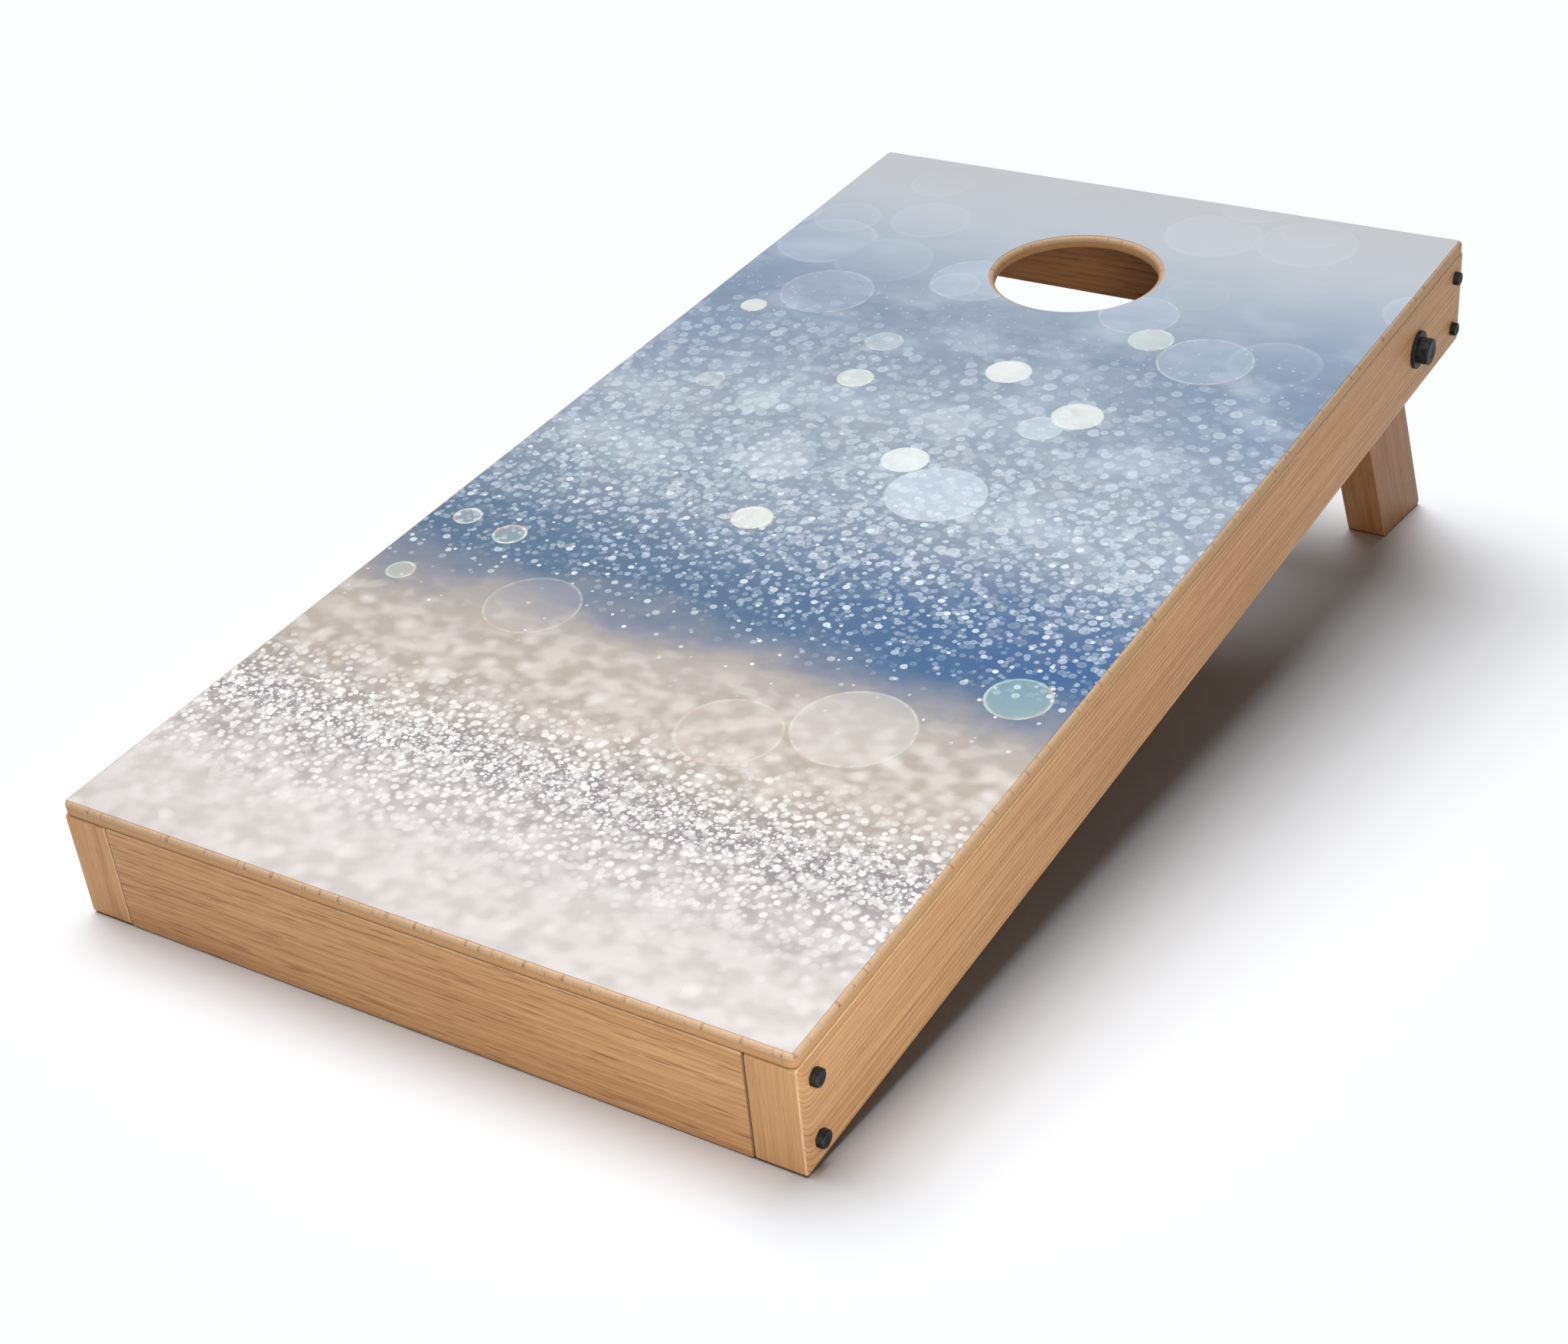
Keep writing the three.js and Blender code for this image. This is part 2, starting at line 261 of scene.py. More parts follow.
def wood(
    name,
    seed,
    pith=(0.16, 0.05),
    rings=230.0,
    lines=0.8,
    drift=0.010,
    breaks=0.3,
    shade=1.0,
    hook=None,
    dashes=0.25,
    seam=None,
    lean=0.0,
):
    """Clear-coated oak whose grain runs along the piece's own X.

    pith is the way from the piece's middle to the middle of the tree, rings how many there are to a
    metre, and drift how far they wander. lines is how dark the late wood of each ring is, and breaks
    how much it is broken into dashes. shade darkens the whole, the blue of it most; it is partly a
    darker wood and partly painted shade. On the end faces the grain is drawn across. hook is where
    the ends are, and how far before them and how much the grain bends as it wraps over the edge.
    dashes is how dark the short strokes along the grain are, and seam is where the ends butt against
    another piece, where a thin line of painted shade darkens them. lean is how far the grain is turned
    from the piece's own X. Scales are per metre, first along the grain and then across it.
    """
    n = Nodes(name)
    place = n.add("TexCoord").outputs
    spot = n.add("Mapping", {"Vector": place["Object"], "Rotation": (0, 0, lean)}).outputs["Vector"]
    facing = n.add("Mapping", {"Vector": place["Normal"], "Rotation": (0, 0, lean)}).outputs["Vector"]
    x, y, z = n.split(spot)
    end = n.remap(n.math("ABSOLUTE", n.split(facing)[0]), 0.6, 0.8)
    turned_grain = n.math("GREATER_THAN", end, 0.5)
    if hook:
        ends, reach, bend = hook
        near_end = n.math("SUBTRACT", n.math("ABSOLUTE", x), ends)
        curl = n.math("POWER", n.remap(near_end, -reach, 0.0, 0.0, 1.0, False), 2.4)
        y = n.math("MULTIPLY_ADD", curl, bend, y)
    swapped = n.join(y, x, z)
    choice = {0: turned_grain, 4: n.join(x, y, z), 5: swapped}
    vector = n.add("Mix", choice, data_type="VECTOR").outputs[1]
    draw = random.Random(seed)
    grain = n.stretch(vector, (1, 1, 1), [draw.uniform(3, 9) for _ in range(3)])
    x, y, z = n.split(vector)

    slow = n.noise(n.stretch(grain, (1.1, 8, 8)), 1.0, 2.0)
    wander = n.noise(n.stretch(grain, (11, 60, 60)), 1.0, 2.0)
    across = n.math("ADD", y, pith[0])
    through = n.math("ADD", z, pith[1])
    squares = n.math("ADD", n.math("MULTIPLY", across, across), n.math("MULTIPLY", through, through))
    radius = n.math("SQRT", squares)
    radius = n.math("MULTIPLY_ADD", slow, drift, radius)
    radius = n.math("MULTIPLY_ADD", wander, 0.0035, radius)
    counted = n.math("MULTIPLY", radius, rings)
    ring = n.math("FRACT", counted)
    number = n.math("FLOOR", counted)
    strength = n.add("TexWhiteNoise", {"W": number}, noise_dimensions="1D").outputs["Value"]
    late = n.math("MULTIPLY", n.remap(ring, 0.62, 0.90), n.remap(ring, 1.0, 0.93))
    late = n.math("MULTIPLY", late, n.math("MULTIPLY_ADD", strength, 0.8, 0.2))
    gaps = n.remap(n.noise(n.stretch(grain, (26, 330, 330)), 1.0, 2.0), 0.42, 0.58)
    late = n.math("MULTIPLY", late, n.math("MULTIPLY_ADD", gaps, breaks, 1 - breaks))
    late = n.math("MULTIPLY", late, n.math("MULTIPLY_ADD", end, -0.6, 1.0))
    fibre = n.noise(n.stretch(grain, (12, 1100, 1100)), 1.0, 3.0, 0.6)
    streak = n.noise(n.stretch(grain, (6, 300, 300)), 1.0, 3.0, 0.6)
    blotch = n.noise(n.stretch(grain, (3, 16, 16)), 1.0, 2.0)
    cell = n.cells(n.stretch(grain, (60, 1500, 1500)))
    chosen = n.remap(n.split(cell["Color"])[0], 0.55, 0.9)
    pore = n.math("MULTIPLY", n.remap(cell["Distance"], 0.36, 0.14), chosen)
    cell = n.cells(n.stretch(grain, (26, 560, 560)))
    chosen = n.remap(n.split(cell["Color"])[1], 0.45, 0.8)
    dash = n.math("MULTIPLY", n.remap(cell["Distance"], 0.38, 0.18), chosen)
    patch = n.remap(n.noise(n.stretch(grain, (14, 80, 80)), 1.0, 1.0), 0.35, 0.65)
    pore = n.math("MULTIPLY", pore, n.math("MULTIPLY_ADD", patch, 0.6, 0.2))
    edge = n.add("Attribute", attribute_name="edge").outputs["Fac"]

    tone = n.math("MULTIPLY", n.math("SUBTRACT", streak, 0.5), n.math("MULTIPLY_ADD", end, -0.8, 1.3))
    tone = n.math("ADD", tone, n.math("MULTIPLY", n.math("SUBTRACT", fibre, 0.5), 0.9))
    tone = n.math("ADD", tone, n.math("MULTIPLY", n.math("SUBTRACT", blotch, 0.5), 0.35))
    tone = n.math("ADD", tone, 0.36, clamp=True)
    base = n.mix(tone, colour(OAK_LIGHT), colour(OAK_DARK))
    base = n.mix(n.math("MULTIPLY", late, lines), base, colour(LATE_WOOD))
    base = n.mix(n.math("MULTIPLY", dash, dashes), base, colour(GRAIN_DASH))
    base = n.mix(n.math("MULTIPLY", pore, 0.6), base, colour(OPEN_PORE))
    worn = n.math("MULTIPLY", edge, n.remap(n.noise(grain, 160, 3.0, 0.7), 0.38, 0.62, 0.45, 1.0))
    base = n.mix(n.math("MULTIPLY", worn, 0.55), base, colour(WORN_EDGE))
    # Painted shade: a thin dark line near the ends, where they butt against another piece.
    if seam:
        joint = n.remap(n.math("ABSOLUTE", n.split(spot)[0]), seam - 0.0018, seam - 0.0006)
        base = n.mix(n.math("MULTIPLY", joint, 0.75), base, colour(SEAM_SHADE))
    # The whole is darkened and warmed by shade: partly a darker wood, partly painted shade.
    base = n.mix(1.0, base, (shade, shade**1.3, shade**1.6, 1.0), "MULTIPLY")
    height = n.math("MULTIPLY_ADD", fibre, 0.35, n.math("MULTIPLY", late, -0.5))
    height = n.math("MULTIPLY_ADD", pore, -0.5, height)
    normal = n.bump(height, 0.00025, 0.6)
    rough = n.math("MULTIPLY_ADD", fibre, 0.12, n.math("MULTIPLY_ADD", pore, 0.2, 0.42))
    coat = {"Coat_Weight": 0.03, "Coat_Roughness": 0.35}
    return n.finish(base, rough, Normal=normal, Specular_IOR_Level=0.15, **coat)


def plywood(name, seed):
    """The bare rim of the deck.

    A light face veneer has short dark strokes where it rolls over an edge, with smooth plies below.
    """
    n = Nodes(name)
    place = n.add("TexCoord").outputs
    x, y, z = n.split(place["Object"])
    facing = n.split(place["Normal"])
    sideways = n.math("GREATER_THAN", n.math("ABSOLUTE", facing[1]), n.math("ABSOLUTE", facing[0]))
    along = n.add("Mix", {0: sideways, 2: y, 3: x}).outputs[0]
    out = n.math("ARCTAN2", y, n.math("SUBTRACT", x, HOLE[1]))
    spot = n.join(n.math("SUBTRACT", x, HOLE[1]), y)
    away = n.add("VectorMath", {0: spot}, operation="LENGTH").outputs["Value"]
    near_hole = n.math("LESS_THAN", away, HOLE_RADIUS + 2 * HOLE_EDGE)
    along = n.add("Mix", {0: near_hole, 2: along, 3: n.math("MULTIPLY", out, HOLE_RADIUS)}).outputs[0]
    line = n.join(along, n.math("MULTIPLY", sideways, 3.0), n.math("MULTIPLY", near_hole, 5.0))

    fibre = n.noise(n.stretch(n.join(x, y, z), (12, 900, 300), (seed, 0, 0)), 1.0, 3.0, 0.6)
    fine = n.noise(line, 750.0, 2.0, 0.6)
    stroke = n.remap(n.noise(line, 170.0, 2.0, 0.6), 0.54, 0.62)
    cut = n.remap(n.noise(n.join(along, n.math("MULTIPLY", z, 3.0)), 60.0, 1.0), 0.4, 0.55)
    stroke = n.math("MULTIPLY", stroke, cut)
    side = n.remap(n.math("ABSOLUTE", facing[2]), 0.55, 0.15)
    in_veneer = n.remap(z, DECK / 2 - 1.3 * DECK_EDGE, DECK / 2 - 0.7 * DECK_EDGE)
    rolled = n.math("MULTIPLY", in_veneer, n.remap(side, 0.0, 0.3, 0.6, 1.0))
    ply = n.math("SINE", n.math("MULTIPLY", z, 2 * math.pi / (DECK / 2.5)))
    tone = n.math("MULTIPLY_ADD", ply, 0.10, n.math("MULTIPLY_ADD", fibre, 0.6, 0.15), clamp=True)
    core = n.mix(tone, colour(CORE_LIGHT), colour(CORE_DARK))
    tone = n.math("MULTIPLY_ADD", fine, 0.7, n.math("MULTIPLY", fibre, 0.3), clamp=True)
    veneer = n.mix(tone, colour(VENEER_LIGHT), colour(VENEER_DARK))
    base = n.mix(n.remap(z, DECK / 2 - 1.4 * DECK_EDGE, DECK / 2 - 0.9 * DECK_EDGE), core, veneer)
    strokes = n.math("MULTIPLY", stroke, rolled)
    base = n.mix(n.math("MULTIPLY", strokes, 0.75), base, colour(VENEER_STROKE))
    # Painted shade: a thin dark line along the bottom of the rim, where the deck sits on the frame.
    joint_shade = n.remap(z, 0.0018 - DECK / 2, 0.0008 - DECK / 2)
    base = n.mix(n.math("MULTIPLY", joint_shade, 0.8), base, colour(SEAM_SHADE))
    height = n.math("MULTIPLY_ADD", fibre, 0.4, n.math("MULTIPLY", stroke, -0.8))
    normal = n.bump(height, 0.00025, 0.6)
    rough = n.math("MULTIPLY_ADD", fibre, 0.15, 0.42)
    return n.finish(base, rough, Normal=normal, Specular_IOR_Level=0.3)


def spots(n, vector, cell, smallest, largest, share, soft, seed):
    """Round spots of light scattered one to a cell: how much they cover, their rims, a random number."""
    moved = n.stretch(vector, (1, 1, 1), (seed * 1.7, seed * 0.9, 0))
    found = n.cells(moved, 1 / cell, "2D")
    red, green, blue = n.split(found["Color"])
    radius = n.math("MULTIPLY_ADD", red, (largest - smallest) / cell, smallest / cell)
    inside = n.math("SUBTRACT", radius, found["Distance"])
    disc = n.remap(inside, 0.0, soft / cell)
    rim = n.math("MULTIPLY", disc, n.remap(inside, 2.6 * soft / cell, soft / cell))
    there = n.math("GREATER_THAN", green, 1 - share)
    return n.math("MULTIPLY", disc, there), n.math("MULTIPLY", rim, there), blue


def window(n, value, start, full, fall, end):
    """1 between two places along the board and 0 outside them, with soft ends."""
    return n.math("MULTIPLY", n.remap(value, start, full), n.remap(value, end, fall))


# The print's colour along the board, from the front edge to the rear
BACKDROP = [
    (0.00, "c8c1be"), (0.05, "c9c2bf"), (0.09, "b1a8a9"), (0.135, "8f868c"), (0.165, "9f9791"),
    (0.195, "bab0a8"), (0.24, "c1b8b1"), (0.275, "a8a09c"), (0.30, "838794"), (0.335, "526c88"),
    (0.375, "56708d"), (0.425, "798a9f"), (0.49, "99a1ac"), (0.56, "a0a6af"), (0.64, "97a1ad"),
    (0.715, "8b98a8"), (0.78, "a1abb7"), (0.85, "b4bbc4"), (0.92, "c4c7cb"), (1.00, "c4c6c9"),
]  # fmt: skip

# The print's large lights: metres from the front edge and to the right of the middle, radius, fill,
# rim and tint
LARGE_LIGHTS = [
    (0.83, 0.03, 0.021, 0.85, 0.1, "f1efe8"), (0.78, 0.12, 0.023, 0.75, 0.2, "f0eee6"),
    (0.75, 0.10, 0.020, 0.40, 0.5, "e4edf0"), (0.66, 0.02, 0.021, 0.80, 0.1, "eff0ea"),
    (0.62, 0.07, 0.043, 0.45, 0.2, "e3eaf2"), (0.62, -0.08, 0.034, 0.25, 0.0, "dfe2e4"),
    (0.53, -0.05, 0.018, 0.75, 0.6, "eceee6"), (0.77, -0.09, 0.017, 0.70, 0.5, "ecefe2"),
    (0.93, 0.12, 0.021, 0.55, 0.6, "e5e8dd"), (0.91, 0.18, 0.043, 0.22, 0.4, "d3dde9"),
    (0.86, -0.25, 0.013, 0.75, 0.4, "eef0e4"), (0.84, -0.10, 0.018, 0.35, 0.4, "dfe6df"),
    (0.72, -0.21, 0.014, 0.30, 0.4, "dbe3da"), (0.70, -0.15, 0.019, 0.35, 0.2, "d3ddd6"),
    (0.91, -0.20, 0.045, 0.16, 0.3, "d9d9e6"), (0.43, -0.22, 0.015, 0.25, 0.9, "d9e2d2"),
    (0.44, -0.27, 0.013, 0.25, 0.7, "d5dcd6"), (0.35, -0.27, 0.013, 0.35, 0.7, "dde0cf"),
    (0.39, 0.26, 0.026, 0.40, 0.5, "a9cbc4"), (0.31, 0.17, 0.047, 0.30, 0.3, "dcd8d4"),
    (0.27, 0.09, 0.041, 0.12, 0.3, "e2ddd6"), (0.35, -0.14, 0.040, 0.10, 0.3, "d4d2d4"),
    (0.98, -0.08, 0.043, 0.25, 0.3, "ccd7e5"), (0.97, 0.09, 0.037, 0.20, 0.3, "ccd7e5"),
]  # fmt: skip


def printed_film():
    """A soft print of out-of-focus lights and glitter in bands across the board, with painted shade over
    it.
    """
    n = Nodes("printed_film")
    place = n.add("TexCoord").outputs["Object"]
    along, across, _ = n.split(place)
    share = n.math("DIVIDE", along, LENGTH)
    flat = n.join(along, across)
    clouds = n.noise(n.stretch(flat, (1.6, 1, 1)), 9.0, 3.0, 0.55, "2D")
    small_clouds = n.noise(n.stretch(flat, (1.2, 1, 1)), 30.0, 3.0, 0.6, "2D")
    tufts = n.noise(n.stretch(flat, (1.3, 1, 1)), 42.0, 1.0, 0.5, "2D")
    level = n.math("MULTIPLY_ADD", n.math("SUBTRACT", clouds, 0.5), 0.05, share)
    level = n.math("MULTIPLY_ADD", n.math("SUBTRACT", small_clouds, 0.5), 0.03, level)
    shade = n.ramp(level, BACKDROP, "LINEAR")

    side = n.math("MULTIPLY", n.math("ABSOLUTE", across), 2 / WIDTH)
    snow = n.math("MULTIPLY", n.remap(share, 0.14, 0.05), n.remap(tufts, 0.25, 0.7))
    # Tints laid over bands of the board: the place along it, the band, a mask, how much, and the tint
    washes = [
        (level, (0.3, 0.35, 0.375, 0.47), n.remap(across, 0.12, -0.3), 0.8, "2b5a90"),
        (share, (0.52, 0.66, 0.76, 0.9), n.remap(side, 0.35, 1.0), 0.45, "748aa8"),
        (share, (0.33, 0.42, 0.72, 0.82), n.remap(small_clouds, 0.62, 0.35), 0.35, "8090a4"),
        (share, (0.15, 0.19, 0.24, 0.29), n.remap(tufts, 0.55, 0.35), 0.5, "a3978b"),
        (share, (0.15, 0.19, 0.25, 0.3), n.remap(tufts, 0.5, 0.7), 0.4, "dad4cc"),
        (share, None, snow, 0.75, "dfdad7"),
        (share, (0.42, 0.5, 0.75, 0.95), n.remap(clouds, 0.45, 0.75), 0.4, "c9d1d9"),
    ]
    for where, span, mask, amount, tint in washes:
        if span:
            mask = n.math("MULTIPLY", window(n, where, *span), mask)
        shade = n.mix(n.math("MULTIPLY", mask, amount), shade, colour(tint))

    # Each layer of spots: cell size, smallest and largest radius, share of the cells, softness, fill,
    # rim, tint, and where along the board it starts, is full, begins to fade and ends
    layers = [
        (0.170, 0.035, 0.052, 0.75, 0.0030, 0.13, 0.13, "dfe3ea", 0.70, 0.80, 0.95, 1.04),
        (0.125, 0.024, 0.036, 0.60, 0.0025, 0.12, 0.14, "e6e6e6", 0.45, 0.60, 0.92, 1.00),
        (0.0260, 0.0060, 0.0095, 0.85, 0.0030, 0.35, 0.12, "d6dbe0", 0.42, 0.50, 0.66, 0.76),
        (0.0190, 0.0048, 0.0072, 0.85, 0.0020, 0.45, 0.22, "d6dce2", 0.38, 0.45, 0.66, 0.77),
        (0.0150, 0.0036, 0.0056, 0.80, 0.0014, 0.45, 0.25, "d8dee4", 0.35, 0.42, 0.60, 0.72),
        (0.0110, 0.0024, 0.0042, 0.80, 0.0010, 0.50, 0.25, "d0dae3", 0.32, 0.38, 0.50, 0.66),
        (0.0085, 0.0018, 0.0032, 0.75, 0.0008, 0.50, 0.25, "c6d3df", 0.31, 0.35, 0.44, 0.54),
        (0.0130, 0.0016, 0.0036, 0.45, 0.0007, 0.85, 0.20, "e3ebf2", 0.29, 0.33, 0.46, 0.62),
        (0.0240, 0.0012, 0.0022, 0.60, 0.0005, 0.85, 0.10, "f1f4f8", 0.23, 0.28, 0.40, 0.80),
        (0.0120, 0.0010, 0.0018, 0.45, 0.0005, 0.60, 0.10, "d5e0ec", 0.60, 0.66, 0.74, 0.82),
        (0.0240, 0.0080, 0.0120, 0.90, 0.0100, 0.60, 0.00, "ebe6e2", -0.10, -0.05, 0.22, 0.29),
        (0.0280, 0.0090, 0.0130, 0.90, 0.0100, 0.45, 0.00, "a79c92", 0.16, 0.19, 0.23, 0.28),
        (0.0130, 0.0040, 0.0060, 0.90, 0.0038, 0.55, 0.00, "eeebe8", 0.00, 0.08, 0.12, 0.25),
        (0.0105, 0.0030, 0.0048, 0.90, 0.0018, 0.70, 0.05, "f2efec", 0.045, 0.09, 0.18, 0.225),
        (0.0080, 0.0022, 0.0036, 0.85, 0.0011, 0.85, 0.10, "f5f2f0", 0.055, 0.095, 0.17, 0.205),
        (0.0055, 0.0013, 0.0023, 0.85, 0.0007, 0.95, 0.15, "f8f6f4", 0.09, 0.12, 0.155, 0.18),
        (0.0036, 0.0007, 0.0014, 0.80, 0.0004, 1.00, 0.10, "fcfbfa", 0.115, 0.13, 0.148, 0.163),
    ]
    for i, (cell, small, large, amount, soft, fill, rim, tint, *span) in enumerate(layers):
        disc, edge, chance = spots(n, flat, cell, small, large, amount, soft, 3 + i)
        here = n.math("MULTIPLY", window(n, share, *span), n.math("MULTIPLY_ADD", chance, 0.85, 0.15))
        light = n.math("MULTIPLY_ADD", disc, fill, n.math("MULTIPLY", edge, rim))
        shade = n.mix(n.math("MULTIPLY", light, here), shade, colour(tint))

    rim_hues = [(0.35, "e6b3a8"), (0.5, "f3f1dc"), (0.65, "b4dac8")]
    hue = n.ramp(n.noise(flat, 55.0, 1.0, 0.5, "2D"), rim_hues)
    for forward, right, radius, fill, rim, tint in LARGE_LIGHTS:
        centre = (forward, -right, 0)
        away = n.add("VectorMath", {0: flat, 1: centre}, operation="DISTANCE").outputs["Value"]
        inside = n.math("SUBTRACT", radius, away)
        disc = n.remap(inside, 0.0, 0.0014)
        filled = n.math("MULTIPLY", disc, n.math("MULTIPLY_ADD", small_clouds, 0.4 * fill, 0.8 * fill))
        shade = n.mix(filled, shade, colour(tint))
        edge = n.math("MULTIPLY", disc, n.remap(inside, 0.004, 0.001))
        shade = n.mix(n.math("MULTIPLY", edge, rim), shade, hue)

    # Painted shade: the print is darkened, most at the front and its right side, where the lamps fall
    # strongest.
    # It is also cooler past the middle.
    painted_shade = n.remap(share, 0.0, 0.15, 0.785, 0.855)
    right = n.remap(across, 0.2, -0.3)
    corner = n.math("MULTIPLY", window(n, share, 0.0, 0.09, 0.13, 0.19), right)
    painted_shade = n.math("MULTIPLY", painted_shade, n.math("MULTIPLY_ADD", corner, -0.10, 1.0))
    near = n.math("MULTIPLY", n.remap(share, 0.5, 0.1), right)
    painted_shade = n.math("MULTIPLY", painted_shade, n.math("MULTIPLY_ADD", near, -0.07, 1.0))
    cold = window(n, share, 0.42, 0.52, 0.88, 1.05)
    red = n.math("MULTIPLY", painted_shade, n.math("MULTIPLY_ADD", cold, -0.045, 1.0))
    blue = n.math("MULTIPLY", painted_shade, n.math("MULTIPLY_ADD", cold, 0.05, 1.0))
    shade = n.mix(1.0, shade, n.join(red, painted_shade, blue), "MULTIPLY")
    grain = n.noise(flat, 1400.0, 2.0, 0.6, "2D")
    rough = n.math("MULTIPLY_ADD", grain, 0.1, 0.42)
    normal = n.bump(grain, 0.00003, 0.25)
    return n.finish(shade, rough, Normal=normal, Specular_IOR_Level=0.25)


def coated_steel(name, base="08090a", worn="17181a", metal=0.0, rough=0.5, edge_tint=0.15, gloss=0.3):
    """Steel or plastic with uneven gloss, a faint cast texture and lighter worn edges."""
    n = Nodes(name)
    place = n.add("TexCoord").outputs["Object"]
    fine = n.noise(place, 2600.0, 3.0, 0.6)
    broad = n.noise(place, 240.0, 3.0, 0.6)
    edge = n.add("Attribute", attribute_name="edge").outputs["Fac"]
    wear = n.math("MULTIPLY", edge, n.remap(broad, 0.35, 0.6))
    base_colour = n.mix(n.math("MULTIPLY", broad, 0.5), colour(base), colour(worn))
    base_colour = n.mix(n.math("MULTIPLY", wear, edge_tint), base_colour, colour(BARE_STEEL))
    roughness = n.math("MULTIPLY_ADD", fine, 0.25, rough - 0.1)
    normal = n.bump(n.math("MULTIPLY_ADD", broad, 0.5, fine), 0.00006, 0.6)
    return n.finish(base_colour, roughness, Normal=normal, Metallic=metal, Specular_IOR_Level=gloss)


# ---------------------------------------------------------------- mesh tools
def piece(name, build, place, body, material, stands_for, smooth_angle=WOOD_SMOOTH):
    """Makes a shown piece from a filled bmesh, puts it in its place and ties it to its body."""
    data = bpy.data.meshes.new(name)
    build.to_mesh(data)
    build.free()
    data.materials.append(material)
    data.shade_smooth()
    data.set_sharp_from_angle(angle=math.radians(smooth_angle))
    thing = bpy.data.objects.new(name, data)
    bpy.context.scene.collection.objects.link(thing)
    thing.matrix_world = place
    even = thing.modifiers.new("even_normals", "WEIGHTED_NORMAL")
    even.keep_sharp = True
    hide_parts(*stands_for)
    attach(thing, body)
    return thing


def finish_mesh(build):
    bmesh.ops.remove_doubles(build, verts=build.verts, dist=1e-7)
    bmesh.ops.dissolve_degenerate(build, edges=build.edges, dist=1e-8)
    bmesh.ops.recalc_face_normals(build, faces=build.faces)


def arc(centre, radius, start, end, steps):
    """Points on an arc between two angles in degrees."""
    turn = [math.radians(start + (end - start) * i / steps) for i in range(steps + 1)]
    return [Vector((centre[0] + radius * math.cos(a), centre[1] + radius * math.sin(a))) for a in turn]


def circle(centre, radius, steps):
    """A hole's outline, clockwise."""
    return arc(centre, radius, 360, 0, steps)[:-1]


def round_some(points, radii, steps=4):
    """An outline with only the corners in radii rounded."""
    out = []
    for i, point in enumerate(points):
        if i not in radii:
            out.append(point)
            continue
        before = (points[i - 1] - point).normalized()
        after = (points[(i + 1) % len(points)] - point).normalized()
        half = math.acos(max(-1, min(1, before.dot(after)))) / 2
        reach = radii[i] / math.tan(half)
        middle = point + (before + after).normalized() * (radii[i] / math.sin(half))
        first = point + before * reach - middle
        last = point + after * reach - middle
        sweep = first.angle_signed(last)
        for k in range(steps + 1):
            arm = first.copy()
            arm.rotate(Matrix.Rotation(-sweep * k / steps, 2))
            out.append(middle + arm)
    return out


def softened(corners, radius, spacing, steps):
    """An anticlockwise outline with each corner rounded and each side divided."""
    points = [Vector(corner) for corner in corners]
    return divided(round_some(points, dict.fromkeys(range(len(points)), radius), steps), spacing)


def oblong(low_x, high_x, half_y):
    """The corners of a rectangle centred on X, anticlockwise."""
    return [(low_x, -half_y), (high_x, -half_y), (high_x, half_y), (low_x, half_y)]


def divided(points, spacing):
    """The same closed outline with long stretches divided."""
    out = []
    for i, point in enumerate(points):
        following = points[(i + 1) % len(points)]
        parts = max(1, round((following - point).length / spacing))
        out += [point.lerp(following, k / parts) for k in range(parts)]
    return out


def inset_normals(loop):
    """For each point of an outline, the way into the material and how much longer a mitre is."""
    result = []
    for i, point in enumerate(loop):
        before = (point - loop[i - 1]).normalized()
        after = (loop[(i + 1) % len(loop)] - point).normalized()
        tangent = (before + after).normalized()
        result.append(Vector((-tangent.y, tangent.x)) / max(0.5, tangent.dot(after)))
    return result


def plate(loops, thickness, top_edges, bottom_edge, steps=4, seed=0, wobble=0.12):
    """A sheet in XY, centred on Z, with a rounded edge all round each outline.

    The first outline is the outside one. top_edges holds the upper rounding of each. The rounding
    varies a little along an edge, as hand sanding leaves it, and each vertex carries how near it is to
    an edge.
    """
    build = bmesh.new()
    mark = build.verts.layers.float.new("edge")
    for face_side in (1, -1):
        rims = []
        for loop, top_edge in zip(loops, top_edges):
            edge = top_edge if face_side > 0 else bottom_edge
            normals = inset_normals(loop)
            ring_before = None
            for step in range(-1, steps + 1):
                ring = []
                for point, inward in zip(loop, normals):
                    sample = Vector((point.x * 21, point.y * 21, face_side * 3.1 + seed * 7.7))
                    size = edge * (1 + wobble * noise.noise(sample))
                    turn = math.radians(90 * max(0, step) / steps)
                    push = size * (1 - math.cos(turn))
                    rise = thickness / 2 - size + size * math.sin(turn)
                    if step < 0:
                        rise = 0.0
                    at = point + inward * push
                    vertex = build.verts.new((at.x, at.y, face_side * rise))
                    vertex[mark] = math.sin(turn * 2) if 0 < step < steps else 0.0
                    ring.append(vertex)
                if ring_before:
                    for i in range(len(ring)):
                        j = (i + 1) % len(ring)
                        build.faces.new((ring_before[i], ring_before[j], ring[j], ring[i]))
                ring_before = ring
            rims.append(ring_before)
        edges = []
        for ring in rims:
            for i in range(len(ring)):
                pair = (ring[i], ring[(i + 1) % len(ring)])
                edges.append(build.edges.get(pair) or build.edges.new(pair))
        bmesh.ops.triangle_fill(build, edges=edges, use_beauty=True, normal=(0, 0, face_side))
    finish_mesh(build)
    return build


